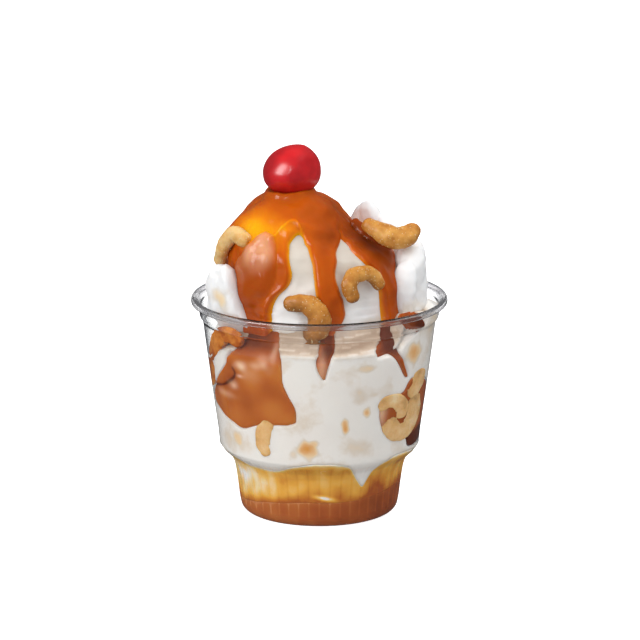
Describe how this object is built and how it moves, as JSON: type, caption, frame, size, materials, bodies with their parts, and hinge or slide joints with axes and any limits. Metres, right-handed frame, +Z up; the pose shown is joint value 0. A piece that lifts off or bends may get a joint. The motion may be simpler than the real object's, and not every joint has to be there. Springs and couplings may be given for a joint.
{
  "type": "ice cream sundae",
  "caption": "Frozen custard sundae in a clear plastic cup with a rolled rim and fluted foot, under caramel sauce with cashews and a cherry on top.",
  "frame": {"origin": "centre of the cup's foot, on the surface it stands on", "axes": "+Z up through the cherry, -Y towards the picture's camera, +X to the right in the picture"},
  "size_m": [0.1, 0.1, 0.1451],
  "materials": {
    "clear_plastic": "clear, glossy",
    "custard": "smooth, moist",
    "caramel": "glossy, sticky",
    "melted_caramel": "glossy",
    "cashew": "roasted, slightly oily",
    "cherry": "glossy"
  },
  "bodies": {
    "root": {"cup": "clear_plastic", "caramel_pool": "caramel", "amber_layer": "melted_caramel", "custard_fill": "custard", "custard_scoop": "custard", "custard_curl_left": "custard", "custard_curl_right": "custard", "caramel_topping": "caramel", "caramel_pocket_left": "caramel", "caramel_pocket_right": "caramel", "caramel_pocket_back": "caramel", "caramel_run_front": "caramel", "cherry": "cherry", "cashew_01": "cashew", "cashew_02": "cashew", "cashew_03": "cashew", "cashew_04": "cashew", "cashew_05": "cashew", "cashew_06": "cashew", "cashew_07": "cashew", "cashew_08": "cashew", "cashew_09": "cashew", "cashew_10": "cashew", "cashew_11": "cashew", "cashew_12": "cashew", "cashew_13": "cashew"}
  },
  "joints": []
}
